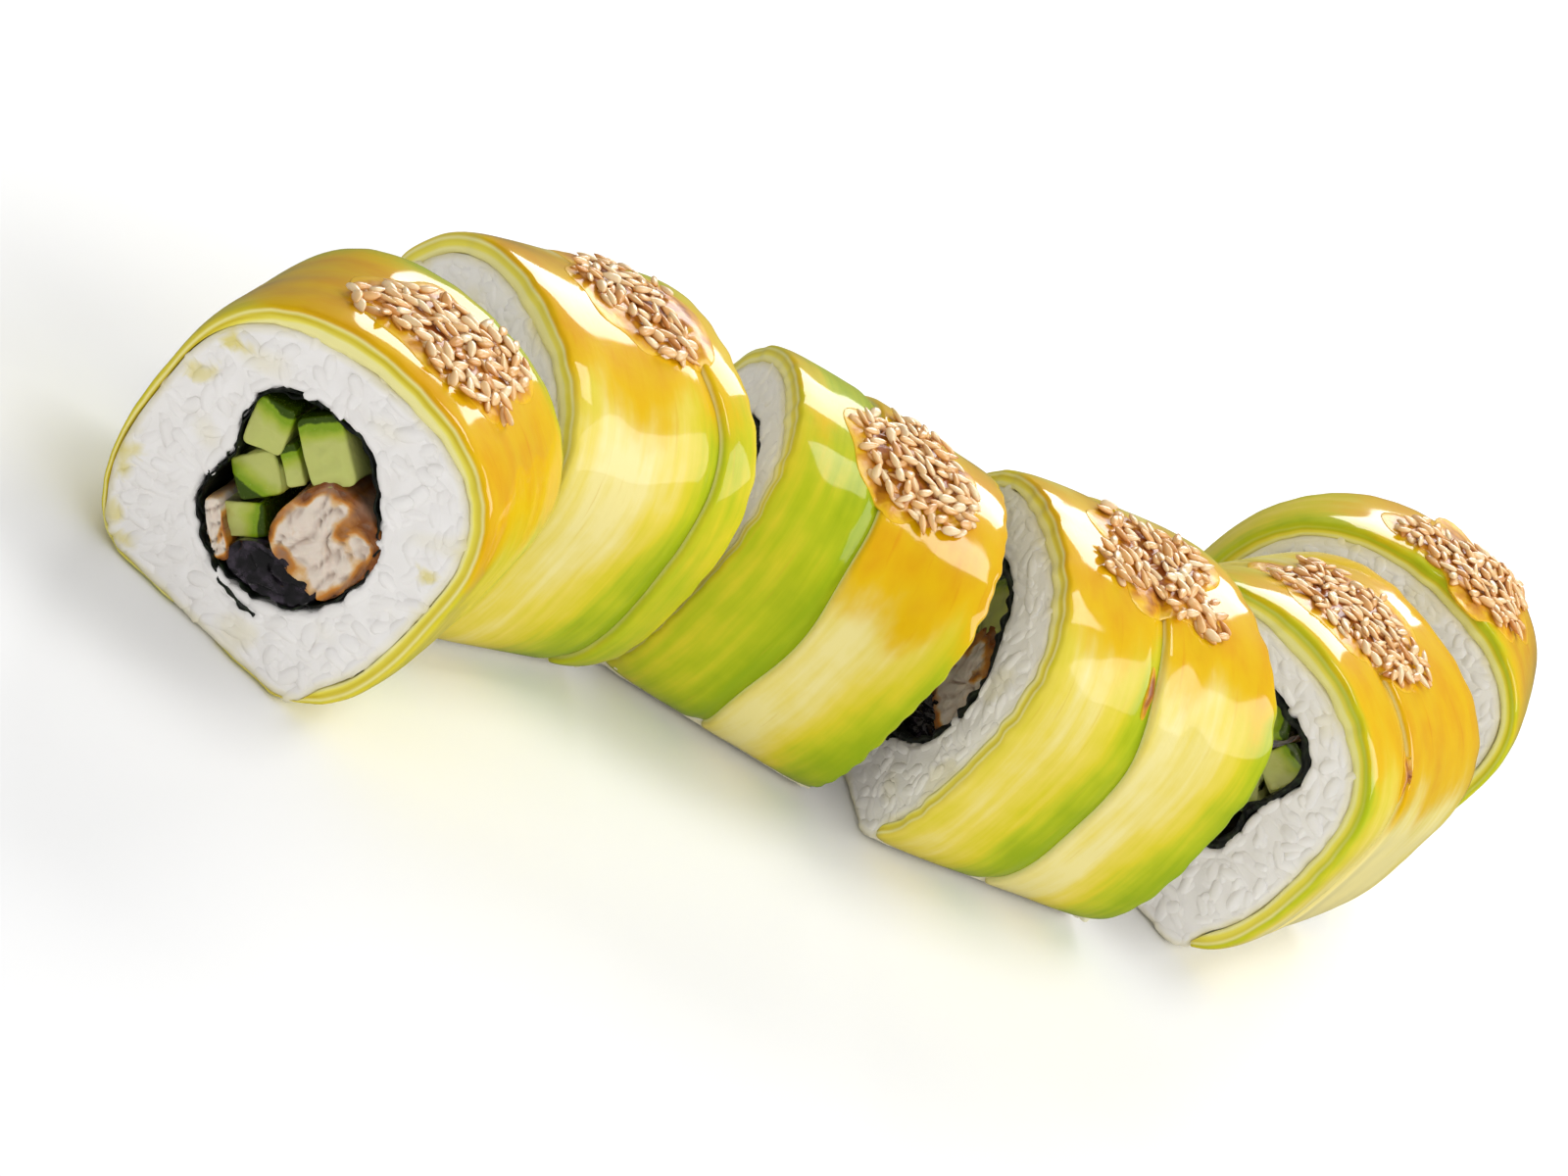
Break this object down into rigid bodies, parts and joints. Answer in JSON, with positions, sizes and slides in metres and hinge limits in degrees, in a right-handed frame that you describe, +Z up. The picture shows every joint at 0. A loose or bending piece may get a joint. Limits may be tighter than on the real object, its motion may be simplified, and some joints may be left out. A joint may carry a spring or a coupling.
{
  "type": "uramaki sushi roll",
  "caption": "Inside-out rice roll wrapped in avocado strips, cut into thick slices lying as one snaking row, with nori, cucumber and grilled eel in the middle.",
  "frame": {"origin": "centre of the bounding box on the table plane the slices rest on", "axes": "+X along the row from the first slice to the last, +Y across the row to the far side, +Z up"},
  "size_m": [0.2529, 0.081, 0.051],
  "materials": {
    "rice": "pressed white rice grains, slightly glossy and moist",
    "nori": "soft black-green seaweed sheet",
    "avocado": "soft ripe flesh, cream yellow to bright green, glazed",
    "cucumber": "wet pale green flesh with darker green skin",
    "eel": "flaky pale flesh with browned grilled edges",
    "eel_skin": "dark shiny grilled skin"
  },
  "bodies": {
    "root": {"rice_1": "rice", "nori_1": "nori", "cucumber_1_1": "cucumber", "cucumber_1_2": "cucumber", "cucumber_1_3": "cucumber", "cucumber_1_4": "cucumber", "cucumber_1_5": "cucumber", "eel_1_1": "eel", "eel_1_2": "eel", "eel_skin_1_1": "eel_skin", "avocado_1_1": "avocado", "rice_2": "rice", "nori_2": "nori", "cucumber_2_1": "cucumber", "cucumber_2_2": "cucumber", "cucumber_2_3": "cucumber", "eel_2_1": "eel", "eel_skin_2_1": "eel_skin", "avocado_2_1": "avocado", "avocado_2_2": "avocado", "rice_3": "rice", "nori_3": "nori", "cucumber_3_1": "cucumber", "cucumber_3_2": "cucumber", "cucumber_3_3": "cucumber", "eel_3_1": "eel", "eel_skin_3_1": "eel_skin", "avocado_3_1": "avocado", "avocado_3_2": "avocado", "rice_4": "rice", "nori_4": "nori", "cucumber_4_1": "cucumber", "cucumber_4_2": "cucumber", "cucumber_4_3": "cucumber", "eel_4_1": "eel", "eel_skin_4_1": "eel_skin", "avocado_4_1": "avocado", "avocado_4_2": "avocado", "rice_5": "rice", "nori_5": "nori", "cucumber_5_1": "cucumber", "cucumber_5_2": "cucumber", "cucumber_5_3": "cucumber", "eel_5_1": "eel", "eel_skin_5_1": "eel_skin", "avocado_5_1": "avocado", "avocado_5_2": "avocado", "rice_6": "rice", "nori_6": "nori", "cucumber_6_1": "cucumber", "cucumber_6_2": "cucumber", "cucumber_6_3": "cucumber", "eel_6_1": "eel", "eel_skin_6_1": "eel_skin", "avocado_6_1": "avocado"}
  },
  "joints": []
}
